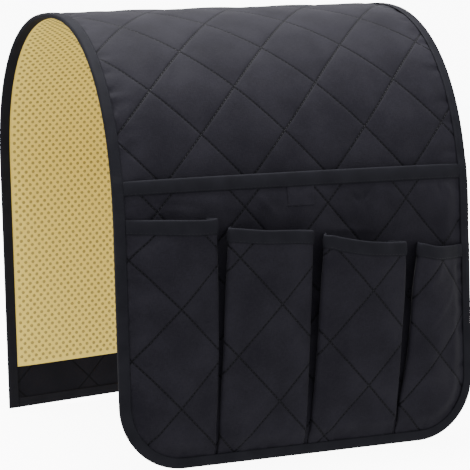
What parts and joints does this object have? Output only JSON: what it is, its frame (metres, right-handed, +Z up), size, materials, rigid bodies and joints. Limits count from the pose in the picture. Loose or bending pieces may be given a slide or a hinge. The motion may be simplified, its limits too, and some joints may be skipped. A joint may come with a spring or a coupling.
{
  "type": "sofa armrest organizer",
  "caption": "Padded quilted cloth saddle that hangs over the arm of a sofa, with a wide flat pocket and pleated pockets on its front flap",
  "frame": {"origin": "middle of the flat underside of the crown, where the sofa's arm carries the saddle", "axes": "+Z up; +X along the sofa's arm, to the right as seen from the pockets; the pockets face -Y"},
  "size_m": [0.3498, 0.3778, 0.4012],
  "materials": {
    "black_quilted_cloth": "woven polyester, quilted in diamonds, dull with a faint sheen",
    "black_binding_tape": "ribbed woven tape, folded over the edges",
    "tan_nonslip_lining": "tan cloth with small rubbery dots",
    "white_wadding": "thin polyester wadding"
  },
  "bodies": {
    "root": {"face_cloth": "black_quilted_cloth", "wadding": "white_wadding", "backing_cloth": "black_quilted_cloth", "nonslip_lining": "tan_nonslip_lining", "edge_binding": "black_binding_tape", "rear_hem_tape": "black_binding_tape", "upper_pocket_panel": "black_quilted_cloth", "upper_pocket_tape": "black_binding_tape", "cloth_tab": "black_binding_tape", "pocket_1": "black_quilted_cloth", "pocket_1_tape": "black_binding_tape", "pocket_2": "black_quilted_cloth", "pocket_2_tape": "black_binding_tape", "pocket_3": "black_quilted_cloth", "pocket_3_tape": "black_binding_tape", "pocket_4": "black_quilted_cloth", "pocket_4_tape": "black_binding_tape"}
  },
  "joints": []
}
